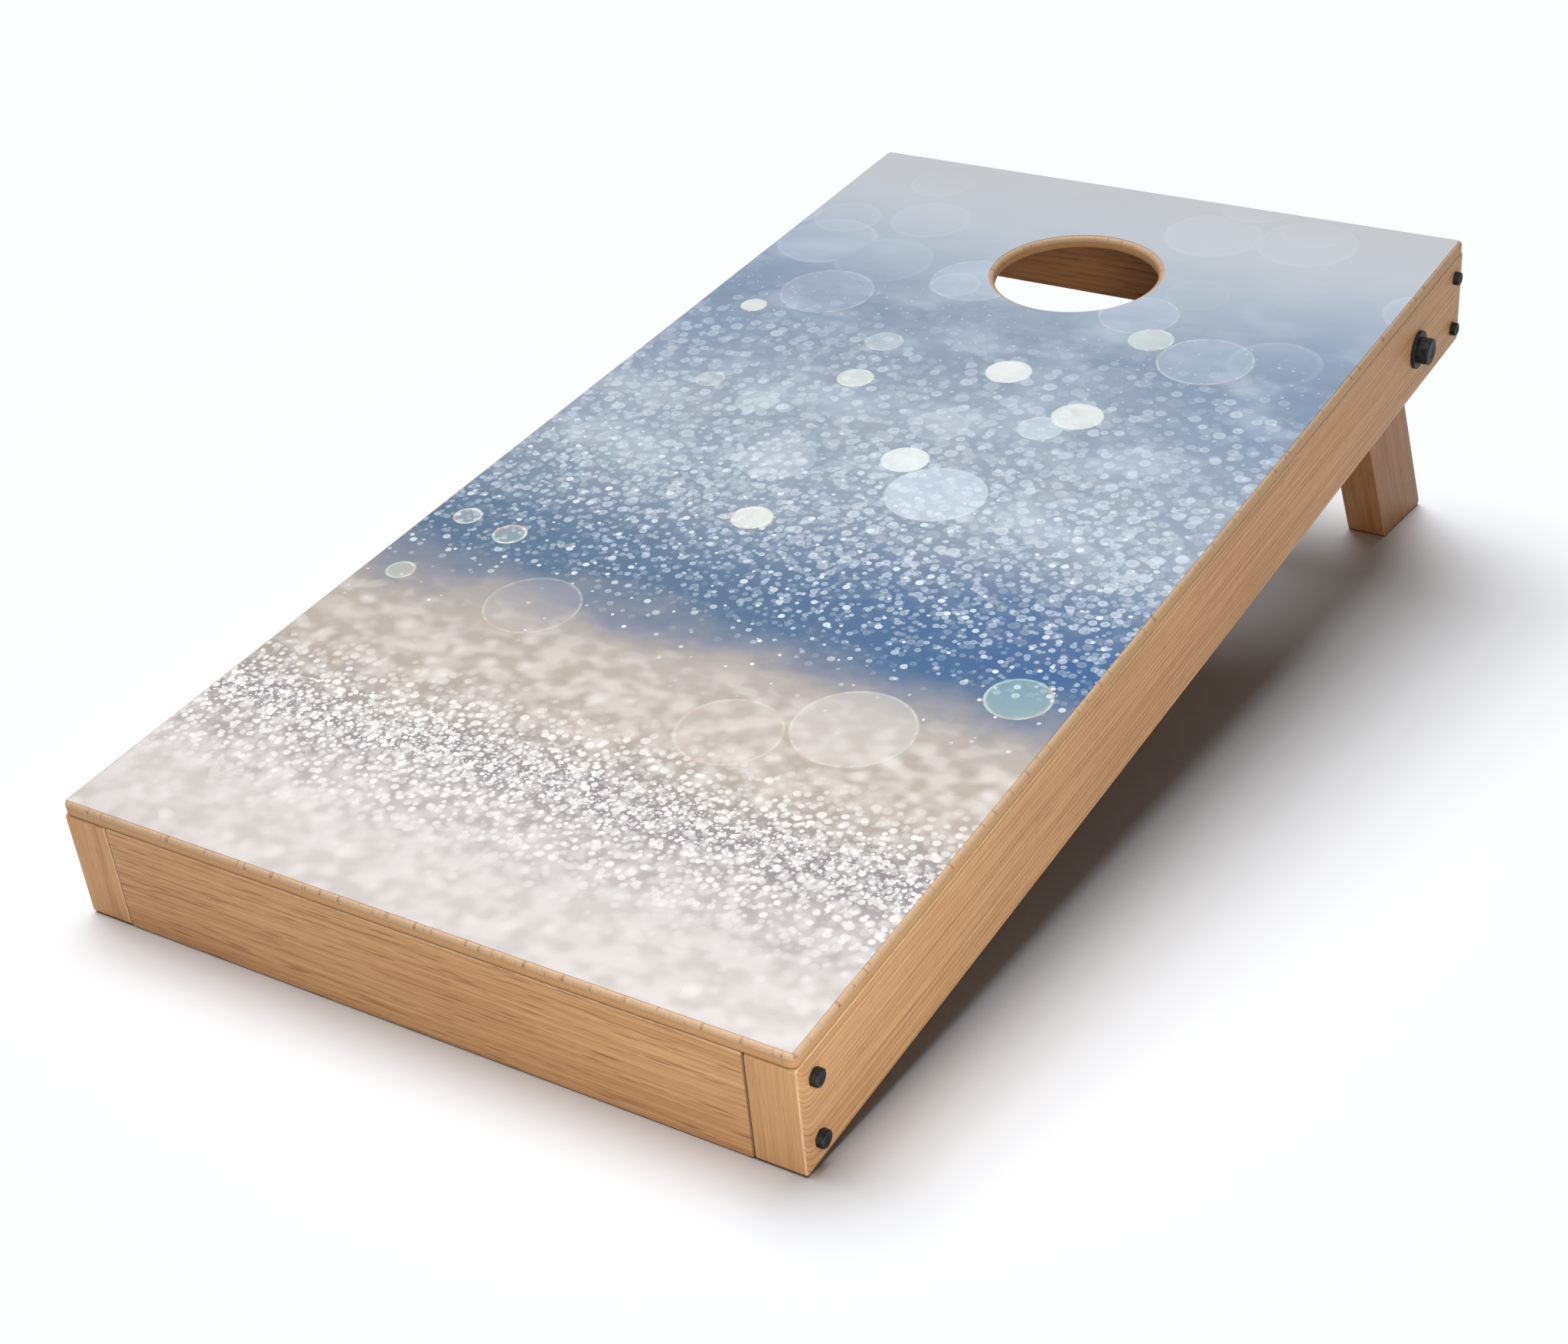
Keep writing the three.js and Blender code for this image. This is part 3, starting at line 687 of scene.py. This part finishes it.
def turned(profile, segments=40, build=None, shape=None):
    """A solid of revolution about X. profile is (radius, x, edge) points; a closed one makes a ring.

    shape, if given, takes an angle and a radius and returns the radius there.
    """
    build = build or bmesh.new()
    mark = build.verts.layers.float.get("edge") or build.verts.layers.float.new("edge")
    rings = []
    for radius, x, edge in profile:
        if radius < 1e-9:
            vertex = build.verts.new((x, 0, 0))
            vertex[mark] = edge
            rings.append([vertex])
            continue
        ring = []
        for k in range(segments):
            angle = 2 * math.pi * k / segments
            r = shape(angle, radius) if shape else radius
            vertex = build.verts.new((x, r * math.cos(angle), r * math.sin(angle)))
            vertex[mark] = edge
            ring.append(vertex)
        rings.append(ring)
    closed = len(rings[0]) > 1
    pairs = list(zip(rings, rings[1:]))
    if closed:
        pairs.append((rings[-1], rings[0]))
    for one, two in pairs:
        for k in range(segments):
            j = (k + 1) % segments
            corners = [one[k % len(one)], one[j % len(one)], two[j % len(two)], two[k % len(two)]]
            kept = list(dict.fromkeys(corners))
            if len(kept) > 2:
                build.faces.new(kept)
    return build


def hexagonal(across, corner_cut=0.0004):
    """A limit on the radius that makes a round section a hexagon with blunted corners, one of them up."""
    limit = across / math.sqrt(3) - corner_cut

    def trim(angle, radius):
        off = (angle + math.pi / 6) % (math.pi / 3) - math.pi / 6
        return min(radius, limit, across / 2 / math.cos(off))

    return trim


def hex_head(build, across, height, mark_radius):
    """A forged hexagonal head along X from 0: conical chamfer, shallow round recess in its face."""
    corner = across / math.sqrt(3)
    face = across / 2 * 0.93
    rise = (corner - face) * math.tan(math.radians(30))
    profile = [(0, 0, 0), (corner * 0.96, 0, 0.4), (corner, 0.0004, 0.5)]
    for k in range(9):
        share = k / 8
        wear = 0.8 - 0.6 * abs(share - 0.5)
        profile.append((corner + (face - corner) * share, height - rise * (1 - share), wear))
    profile += [
        (face * 0.97, height + 0.00005, 0.2),
        (mark_radius * 1.12, height, 0.1),
        (mark_radius, height - 0.0003, 0.6),
        (mark_radius * 0.9, height - 0.0006, 0.1),
        (mark_radius * 0.5, height - 0.0007, 0.0),
        (0, height - 0.0007, 0.0),
    ]
    return turned(profile, 72, build, hexagonal(across))


def threaded(build, radius, start, end, pitch, depth, tip=0.002):
    """A threaded shank along X from start down to end, with a helical ridge and a bevelled tip."""
    mark = build.verts.layers.float.get("edge") or build.verts.layers.float.new("edge")
    segments = 24
    count = max(2, int(abs(end - start) / (pitch / 6)))
    rings = []
    for i in range(count + 1):
        x = start + (end - start) * i / count
        left = abs(x - end)
        ring = []
        for k in range(segments):
            angle = 2 * math.pi * k / segments
            phase = (x / pitch + k / segments) % 1.0
            ridge = 1 - abs(2 * phase - 1)
            r = radius - depth * (1 - ridge)
            r = min(r, radius - depth + left * 0.8) if left < tip else r
            vertex = build.verts.new((x, r * math.cos(angle), r * math.sin(angle)))
            vertex[mark] = ridge
            ring.append(vertex)
        rings.append(ring)
    for one, two in zip(rings, rings[1:]):
        for k in range(segments):
            j = (k + 1) % segments
            build.faces.new((one[k], one[j], two[j], two[k]))
    build.faces.new(rings[0])
    build.faces.new(list(reversed(rings[-1])))
    return build


# ---------------------------------------------------------------- wooden pieces
ALONG = Matrix.Rotation(math.pi / 2, 4, "Z")  # the piece's own X turned to run along the board
UPRIGHT = Matrix.Rotation(math.pi / 2, 4, "X")  # the piece's own Y turned to point up


def make_deck(material):
    outline = softened(oblong(0, LENGTH, WIDTH / 2), DECK_CORNER, 0.012, 6)
    loops = [outline, circle((HOLE[1], 0), HOLE_RADIUS, HOLE_STEPS)]
    build = plate(loops, DECK, (DECK_EDGE, HOLE_EDGE), DECK_LOWER_EDGE, 5, seed=1)
    place = BOARD @ Matrix.Translation((0, 0, DECK_TOP - DECK / 2)) @ ALONG
    piece("deck_panel_plywood", build, place, "board", material, ["deck_panel"])


def make_skin(material):
    corners = oblong(SKIN_INSET, LENGTH - SKIN_INSET, WIDTH / 2 - SKIN_INSET)
    outline = softened(corners, SKIN_CORNER, 0.03, 6)
    hole = circle((HOLE[1], 0), HOLE_RADIUS + SKIN_INSET + SKIN_HOLE_EXTRA, HOLE_STEPS)
    edges = (SKIN_EDGE, SKIN_EDGE)
    build = plate([outline, hole], SKIN, edges, SKIN_LOWER_EDGE, 2, seed=2, wobble=0.0)
    place = BOARD @ Matrix.Translation((0, 0, DECK_TOP + SKIN / 2 + LIFT)) @ ALONG
    piece("printed_film_skin", build, place, "board", material, ["printed_skin"])


def plank_outline(length, depth):
    return softened(oblong(-length / 2, length / 2, depth / 2), PLANK_CORNER, 0.02, 4)


def make_rail(name, side, material, seed):
    loops = [plank_outline(LENGTH, DEPTH)]
    build = plate(loops, PLANK, (PLANK_EDGE,), PLANK_EDGE, 4, seed)
    place = BOARD @ Matrix.Translation((side * RAIL_X, LENGTH / 2, DEPTH / 2)) @ ALONG @ UPRIGHT
    piece(name + "_plank", build, place, "board", material, [name])


def make_cross_plank(name, y, material, seed):
    loops = [plank_outline(WIDTH - 2 * PLANK - 2 * GAP, DEPTH)]
    build = plate(loops, PLANK, (PLANK_EDGE,), PLANK_EDGE, 4, seed)
    place = BOARD @ Matrix.Translation((0, y, DEPTH / 2)) @ UPRIGHT
    piece(name + "_plank", build, place, "board", material, [name])


def leg_stance(hand):
    """A leg's pivot, how far it leans to the rear and how high the pivot stands."""
    pivot = Vector(joints[hand + "_leg_fold"]["pos_m"])
    low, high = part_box(hand + "_leg")
    # The foot's rear corner is the leg's rearmost point, and lies on the ground.
    rear_foot = Vector((pivot.x, high.y, low.z))
    reach = (rear_foot - pivot).length
    along_reach = math.sqrt(reach**2 - LEG_HALF**2)
    lean = math.atan2(rear_foot.y - pivot.y, pivot.z - rear_foot.z) - math.atan2(LEG_HALF, along_reach)
    return pivot, lean, pivot.z - low.z


def make_leg(hand, material, seed):
    """A leg, drawn with X from the pivot down to the foot and Y towards the front, then leant over."""
    pivot, lean, ground = leg_stance(hand)

    def foot_at(c):
        return (ground + c * math.sin(lean)) / math.cos(lean)

    room = DEPTH / 2 + GAP - LEG_STOP
    tilt = math.atan2(-BOARD.col[2].y, BOARD.col[2].z)
    angle = lean - tilt
    top = (room - LEG_HALF * math.sin(angle)) / math.cos(angle)
    # c is across the leg, towards the rear; the outline's own Y is -c.
    front_end = math.degrees(math.asin(top / LEG_HALF))
    head = arc((0, 0), LEG_HALF, 90, 180 - front_end, 14)
    outline = [Vector((foot_at(LEG_HALF), -LEG_HALF)), Vector((foot_at(-LEG_HALF), LEG_HALF))]
    outline += head + [Vector((-top, -LEG_HALF))]
    outline = round_some(outline, {0: FOOT_CORNER, 1: FOOT_CORNER, len(outline) - 1: LEG_CORNER})
    loops = [divided(outline, 0.02), circle((0, 0), BOLT_RADIUS + GAP, 40)]
    build = plate(loops, PLANK, (PLANK_EDGE, LEG_HOLE_EDGE), PLANK_EDGE, 4, seed)
    bmesh.ops.transform(build, matrix=Matrix.Rotation(-lean, 4, "Z"), verts=build.verts)
    down = Vector((0, 0, -1))
    forward = Vector((0, -1, 0))
    axes = Matrix((down, forward, down.cross(forward))).transposed().to_4x4()
    place = Matrix.Translation(pivot) @ axes
    piece(hand + "_leg_plank", build, place, hand + "_leg", material, [hand + "_leg"])


# ---------------------------------------------------------------- hardware
def middle_of(node):
    low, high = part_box(node)
    return (low + high) / 2


def side_frame(hand, node, at_face=None):
    """A place on the line of a bolt, with X out of the board on that side and Z up the board."""
    turn = Matrix.Identity(4) if hand == "right" else Matrix.Rotation(math.pi, 4, "Z")
    centre = middle_of(node)
    x = centre.x if at_face is None else at_face
    return Matrix.Translation((x, centre.y, centre.z)) @ BOARD.to_3x3().to_4x4() @ turn


def washer_profile(radius, bore, thickness, edge=0.0004):
    half = thickness / 2
    return [
        (bore, -half + edge, 0.2),
        (bore + edge, -half, 0.3),
        (radius - edge, -half, 0.2),
        (radius - 0.3 * edge, -half + 0.3 * edge, 0.9),
        (radius, -half + edge, 0.5),
        (radius, half - edge, 0.5),
        (radius - 0.3 * edge, half - 0.3 * edge, 0.9),
        (radius - edge, half, 0.2),
        (bore + edge, half, 0.3),
        (bore, half - edge, 0.2),
    ]


def make_lag(hand, corner, steel):
    node = f"{hand}_{corner}_lag_screw"
    seat = WIDTH / 2 + LIFT
    build = hex_head(bmesh.new(), LAG_ACROSS, LAG_HEAD, LAG_RECESS)
    shank_end = -LAG_LENGTH + 2 * OVERLAP
    threaded(build, LAG_RADIUS, OVERLAP, shank_end, LAG_PITCH, LAG_THREAD, LAG_TIP)
    finish_mesh(build)
    place = side_frame(hand, node, seat if hand == "right" else -seat)
    piece(node + "_forged", build, place, "board", steel, [node], METAL_SMOOTH)


def make_pivot(hand, black, zinc, nylon):
    out = 1 if hand == "right" else -1
    face = WIDTH / 2 + LIFT
    washer = hand + "_outer_washer"
    build = turned(washer_profile(WASHER_RADIUS, OUTER_BORE, OUTER_WASHER), 64)
    finish_mesh(build)
    place = side_frame(hand, washer, out * (face + OUTER_WASHER / 2))
    piece(washer + "_pressed", build, place, "board", black, [washer], METAL_SMOOTH)

    bolt = hand + "_pivot_bolt"
    low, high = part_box(bolt)
    seat = face + OUTER_WASHER
    tip = abs(low.x if out > 0 else high.x)
    build = hex_head(bmesh.new(), BOLT_ACROSS, BOLT_HEAD, BOLT_RECESS)
    ends = (OVERLAP, -BOLT_SMOOTH)
    shank = [(0, ends[0], 0), (BOLT_RADIUS, ends[0], 0), (BOLT_RADIUS, ends[1], 0), (0, ends[1], 0)]
    turned(shank, 40, build)
    threaded(build, BOLT_RADIUS, -BOLT_SMOOTH + THREAD_START, tip - seat, BOLT_PITCH, BOLT_THREAD)
    finish_mesh(build)
    place = side_frame(hand, washer, out * seat)
    piece(bolt + "_forged", build, place, "board", black, [bolt], METAL_SMOOTH)

    for part, material, slot, radius in (
        ("spacer_washer", nylon, "nylon", SPACER_RADIUS),
        ("inner_washer", zinc, "zinc_steel", WASHER_RADIUS),
    ):
        node = f"{hand}_{part}"
        low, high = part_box(node)
        thickness = high.x - low.x + RING_EXTRA
        build = turned(washer_profile(radius, WASHER_BORE, thickness, RING_EDGE), 64)
        finish_mesh(build)
        place = side_frame(hand, node)
        piece(node + "_ring", build, place, "board", material, [node], METAL_SMOOTH)

    make_nut(hand, zinc)


def make_nut(hand, zinc):
    """A lock nut along X: a hexagon towards the washer and a rolled collar that holds a nylon ring."""
    node = hand + "_lock_nut"
    low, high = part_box(node)
    half = (high.x - low.x) / 2
    across = BOLT_ACROSS
    corner = across / math.sqrt(3)
    face = across / 2 * 0.95
    bore = BOLT_RADIUS + NUT_BORE_ROOM
    cone = (corner - face) * CHAMFER_SLOPE
    collar = -half * 0.45
    profile = [(bore, half - 0.0004, 0.2), (bore + 0.0006, half, 0.3)]
    for k in range(7):
        share = k / 6
        profile.append((face + (corner - face) * share, half - cone * share, 0.5))
    for k in range(7):
        share = k / 6
        profile.append((corner + (face - corner) * share, collar + cone * (1 - share), 0.5))
    profile += [
        (across * 0.455, collar - 0.0005, 0.2),
        (across * 0.45, -half + 0.0018, 0.1),
        (across * 0.43, -half + 0.0005, 0.7),
        (across * 0.40, -half, 0.4),
        (across * 0.385, -half + 0.0004, 0.3),
        (bore, -half + 0.0012, 0.1),
    ]
    build = turned(profile, 72, None, hexagonal(across))
    finish_mesh(build)
    place = side_frame(hand, node)
    piece(node + "_forged", build, place, "board", zinc, [node], METAL_SMOOTH)


# ---------------------------------------------------------------- stage
CAMERA_PLACE = (0.963, -1.7525, 0.9842)
CAMERA_LOOK = (-0.46499, 0.76929, -0.43814)
CAMERA_ROLL = 0.2212  # degrees
LENS = 58.86  # mm, on a 36 mm sensor
FLOOR_Z = -0.0002
FLOOR_HALF = 30
STUDIO_LIGHT = 0.08
KEY_DIRECTION = (0.34, -0.05, -1)
KEY_SPREAD = 58  # degrees
KEY_POWER = 3.42
FILL_PLACE = (1.2, -1.4, 0.9)
FILL_AIM = (-0.2, -0.9, 0.0)
FILL_SIZE = 0.9
FILL_POWER = 22.5


def make_camera():
    data = bpy.data.cameras.new("camera")
    data.lens = LENS
    data.sensor_width = 36.0
    data.clip_start = 0.05
    data.clip_end = 60
    camera = bpy.data.objects.new("camera", data)
    bpy.context.scene.collection.objects.link(camera)
    camera.location = CAMERA_PLACE
    camera.rotation_mode = "QUATERNION"
    roll = Matrix.Rotation(math.radians(CAMERA_ROLL), 3, "Z").to_quaternion()
    camera.rotation_quaternion = Vector(CAMERA_LOOK).to_track_quat("-Z", "Y") @ roll
    bpy.context.scene.camera = camera


def make_floor():
    n = Nodes("floor_paint")
    place = n.add("TexCoord").outputs["Object"]
    tone = n.noise(place, 1.2, 2.0)
    base = n.mix(tone, colour(FLOOR_PALE), colour(FLOOR_PALER))
    material = n.finish(base, 0.9, Specular_IOR_Level=0.0)
    build = bmesh.new()
    bmesh.ops.create_grid(build, x_segments=8, y_segments=8, size=FLOOR_HALF)
    data = bpy.data.meshes.new("floor")
    build.to_mesh(data)
    build.free()
    data.materials.append(material)
    floor = bpy.data.objects.new("floor", data)
    bpy.context.scene.collection.objects.link(floor)
    floor.location.z = FLOOR_Z


def area_light(name, place, aim, size, power):
    data = bpy.data.lights.new(name, "AREA")
    data.shape = "DISK"
    data.size = size
    data.energy = power
    lamp = bpy.data.objects.new(name, data)
    bpy.context.scene.collection.objects.link(lamp)
    lamp.location = place
    lamp.visible_camera = False
    lamp.rotation_mode = "QUATERNION"
    lamp.rotation_quaternion = (Vector(aim) - Vector(place)).to_track_quat("-Z", "Y")
    return lamp


def make_light():
    world = bpy.data.worlds.new("studio")
    world.use_nodes = True
    tree = world.node_tree
    background = tree.nodes["Background"]
    background.inputs["Color"].default_value = (1, 1, 1, 1)
    background.inputs["Strength"].default_value = STUDIO_LIGHT
    # Past the floor's end the camera sees a studio as pale as the floor, which lights nothing more.
    pale = tree.nodes.new("ShaderNodeBackground")
    pale.inputs["Color"].default_value = colour(FLOOR_PALE)
    path = tree.nodes.new("ShaderNodeLightPath")
    choice = tree.nodes.new("ShaderNodeMixShader")
    tree.links.new(path.outputs["Is Camera Ray"], choice.inputs[0])
    tree.links.new(background.outputs[0], choice.inputs[1])
    tree.links.new(pale.outputs[0], choice.inputs[2])
    tree.links.new(choice.outputs[0], tree.nodes["World Output"].inputs["Surface"])
    bpy.context.scene.world = world
    key = bpy.data.lights.new("key", "SUN")
    key.angle = math.radians(KEY_SPREAD)
    key.energy = KEY_POWER
    lamp = bpy.data.objects.new("key", key)
    bpy.context.scene.collection.objects.link(lamp)
    lamp.rotation_mode = "QUATERNION"
    lamp.rotation_quaternion = Vector(KEY_DIRECTION).to_track_quat("-Z", "Y")
    fill = area_light("fill", FILL_PLACE, FILL_AIM, FILL_SIZE, FILL_POWER)
    # The fill is kept off the floor, so the shadow under the board stays deep.
    lit = bpy.data.collections.new("lit_by_fill")
    for thing in bpy.data.objects:
        if thing.type == "MESH" and thing.name != "floor":
            lit.objects.link(thing)
    fill.light_linking.receiver_collection = lit
    bpy.context.scene.view_settings.view_transform = "Standard"


# ---------------------------------------------------------------- assembly
make_camera()

make_deck(plywood("plywood_veneer", 11.0))
make_skin(printed_film())
# The grain bends over a rail's ends from 16 mm before them, by 10 mm.
wrap = (LENGTH / 2, 0.016, -0.010)
make_rail("left_rail", -1, wood("left_rail_wood", 21, hook=wrap), 3)
make_rail("right_rail", 1, wood("right_rail_wood", 22, hook=wrap), 4)
cross_grain = {"pith": (0.1, 0.3), "rings": 380, "drift": 0.022, "breaks": 0.85}
cross_grain["seam"] = WIDTH / 2 - PLANK - GAP
# The front board's wood is a touch darker than the rails' and the rear board's much darker: partly a
# darker wood, partly painted shade, as the rear board is seen in shade through the hole.
front_wood = wood("front_board_wood", 23, lines=0.6, shade=0.95, dashes=0.75, **cross_grain)
rear_wood = wood("rear_board_wood", 24, lines=0.8, shade=0.64, dashes=0.5, **cross_grain)
make_cross_plank("front_board", PLANK / 2, front_wood, 5)
make_cross_plank("rear_board", LENGTH - PLANK / 2, rear_wood, 6)
# The legs' wood is darker partly as a wood and partly as painted shade, since they stand in shade under
# the board.
leg_grain = {"pith": (0.09, 0.07), "rings": 180, "lines": 0.4, "shade": 0.68}
leg_grain["lean"] = leg_stance("left")[1]
make_leg("left", wood("left_leg_wood", 25, **leg_grain), 7)
make_leg("right", wood("right_leg_wood", 26, **leg_grain), 8)

black_coat = coated_steel("black_coat")
zinc_look = {"metal": 1.0, "rough": 0.38, "edge_tint": 0.3, "gloss": 0.45}
zinc_plate = coated_steel("zinc_plate", "8d9093", "a9abad", **zinc_look)
dark_nylon = coated_steel("dark_nylon", "151516", "242426", edge_tint=0.1)
for hand in ("left", "right"):
    for corner in ("front_lower", "front_upper", "rear_lower", "rear_upper"):
        make_lag(hand, corner, black_coat)
    make_pivot(hand, black_coat, zinc_plate, dark_nylon)
for name, node in frame["nodes"].items():
    if name.startswith("deck_screw"):
        node.data.materials.clear()
        node.data.materials.append(zinc_plate)

make_floor()
make_light()
